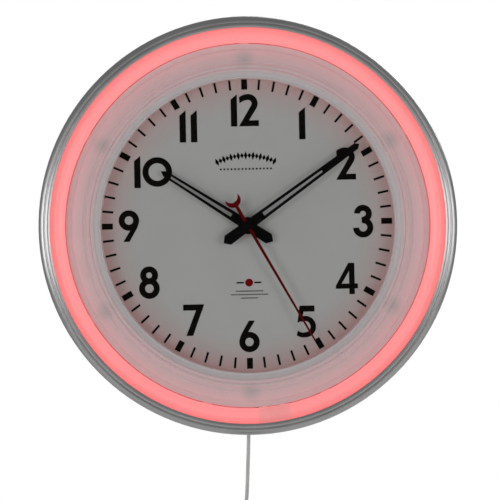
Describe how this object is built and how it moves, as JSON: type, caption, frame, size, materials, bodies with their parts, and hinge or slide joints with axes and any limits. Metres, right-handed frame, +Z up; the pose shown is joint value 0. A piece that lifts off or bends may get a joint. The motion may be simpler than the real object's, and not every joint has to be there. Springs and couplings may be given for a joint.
{
  "type": "illuminated wall clock",
  "caption": "Round chromed wall clock with a lit glass ring round a frosted trim ring, skeleton hands, a quartz movement and a corded wall adapter.",
  "frame": {"origin": "centre of the hanging hole, on the wall plane", "axes": "+Z up, +Y into the wall, the dial faces -Y"},
  "size_m": [0.381, 0.066, 0.5935],
  "materials": {
    "bezel_chrome": "bright plating with fine circular drawing marks",
    "lens_glass": "clear, polished",
    "seal_rubber": "matt",
    "case_plastic": "fine moulded grain",
    "screw_steel": "zinc plated",
    "dial_white": "matt white lacquer",
    "print_black": "screen-printed ink",
    "print_red": "screen-printed ink",
    "frosted_plastic": "translucent, frosted",
    "lit_tube": "lit, soft pink-red glow",
    "join_pink": "translucent, lit from within",
    "black_plastic": "fine moulded grain",
    "lead_white": "flexible vinyl, satin",
    "boot_silicone": "silicone, matt",
    "board_green": "solder mask",
    "copper_winding": "enamelled wire",
    "soft_iron": "bare",
    "magnet": "sintered",
    "wheel_plastic": "acetal",
    "brass": "turned",
    "hand_black": "satin black lacquer",
    "hand_red": "satin dark red lacquer",
    "cell_jacket": "printed jacket",
    "tie_white": "soft vinyl"
  },
  "bodies": {
    "root": {"bezel": "bezel_chrome", "lens": "lens_glass", "lens_gasket": "seal_rubber", "lens_retainer": "case_plastic", "rear_case": "case_plastic", "case_screws": "screw_steel", "dial_carrier": "case_plastic", "dial_disc": "dial_white", "hour_numerals": "print_black", "minute_track": "print_black", "dial_ornament": "print_black", "dial_dot": "print_red", "diffuser_ring": "frosted_plastic", "ring_screws": "screw_steel", "neon_tube": "lit_tube", "join_cover": "join_pink", "tube_clips": "case_plastic", "tube_grommet": "seal_rubber", "tube_end_boots": "boot_silicone", "driver_case": "black_plastic", "hv_leads": "lead_white", "supply_leads": "lead_white", "cord_gland": "lead_white", "switch_housing": "black_plastic", "movement_shell": "black_plastic", "movement_plate": "brass", "movement_cover": "black_plastic", "circuit_board": "board_green", "quartz_crystal": "screw_steel", "coil": "copper_winding", "stator": "soft_iron", "battery_contacts": "screw_steel", "bushing_washer": "brass", "bushing_nut": "brass", "cord_drop": "lead_white", "cord_coil": "lead_white", "cord_tail": "lead_white", "cord_tie": "tie_white", "adapter_body": "black_plastic", "adapter_blades": "screw_steel"},
    "second_drive": {"second_wheel": "wheel_plastic", "second_hand": "hand_red", "second_hand_cap": "hand_black"},
    "intermediate": {"intermediate_wheel": "wheel_plastic"},
    "rotor": {"rotor": "magnet"},
    "third": {"third_wheel": "wheel_plastic"},
    "centre": {"centre_wheel": "wheel_plastic"},
    "minute_drive": {"cannon_pinion": "brass", "minute_hand": "hand_black"},
    "minute_wheel": {"minute_wheel": "wheel_plastic"},
    "hour_drive": {"hour_wheel": "wheel_plastic", "hour_hand": "hand_black"},
    "set_knob": {"set_knob": "black_plastic"},
    "aa_cell": {"aa_cell": "cell_jacket"},
    "switch_rocker": {"switch_rocker": "black_plastic"}
  },
  "joints": [
    {"name": "second_spin", "type": "hinge", "parent": "root", "child": "second_drive", "pos_m": [0, -0.035, -0.118], "axis": [0, 1, 0], "continuous": true},
    {"name": "intermediate_spin", "type": "hinge", "parent": "root", "child": "intermediate", "pos_m": [0.01015, -0.022, -0.11431], "axis": [0, 1, 0], "continuous": true},
    {"name": "rotor_spin", "type": "hinge", "parent": "root", "child": "rotor", "pos_m": [0.01435, -0.022, -0.10703], "axis": [0, 1, 0], "continuous": true},
    {"name": "third_spin", "type": "hinge", "parent": "root", "child": "third", "pos_m": [-0.00764, -0.025, -0.11036], "axis": [0, 1, 0], "continuous": true},
    {"name": "centre_spin", "type": "hinge", "parent": "root", "child": "centre", "pos_m": [0, -0.0268, -0.118], "axis": [0, 1, 0], "continuous": true},
    {"name": "minute_spin", "type": "hinge", "parent": "root", "child": "minute_drive", "pos_m": [0, -0.037, -0.118], "axis": [0, 1, 0], "continuous": true},
    {"name": "minute_wheel_spin", "type": "hinge", "parent": "root", "child": "minute_wheel", "pos_m": [0.01, -0.03, -0.118], "axis": [0, 1, 0], "continuous": true},
    {"name": "hour_spin", "type": "hinge", "parent": "root", "child": "hour_drive", "pos_m": [0, -0.037, -0.118], "axis": [0, 1, 0], "continuous": true},
    {"name": "set_knob_spin", "type": "hinge", "parent": "root", "child": "set_knob", "pos_m": [0.02032, -0.02, -0.11991], "axis": [0, 1, 0], "continuous": true},
    {"name": "cell_slide", "type": "slide", "parent": "root", "child": "aa_cell", "axis": [0, 1, 0], "range_m": [0, 0.034]},
    {"name": "rocker_tilt", "type": "hinge", "parent": "root", "child": "switch_rocker", "pos_m": [0.03, -0.011, -0.294], "axis": [0, 1, 0], "range_deg": [-18, 0]}
  ],
  "couplings": [
    {"joint": "intermediate_spin", "follows": "second_spin", "ratio": -5},
    {"joint": "rotor_spin", "follows": "second_spin", "ratio": 30},
    {"joint": "third_spin", "follows": "second_spin", "ratio": -0.13333},
    {"joint": "centre_spin", "follows": "second_spin", "ratio": 0.016667},
    {"joint": "minute_wheel_spin", "follows": "minute_spin", "ratio": -0.33333},
    {"joint": "hour_spin", "follows": "minute_spin", "ratio": 0.083333},
    {"joint": "set_knob_spin", "follows": "minute_spin", "ratio": 0.83333}
  ]
}
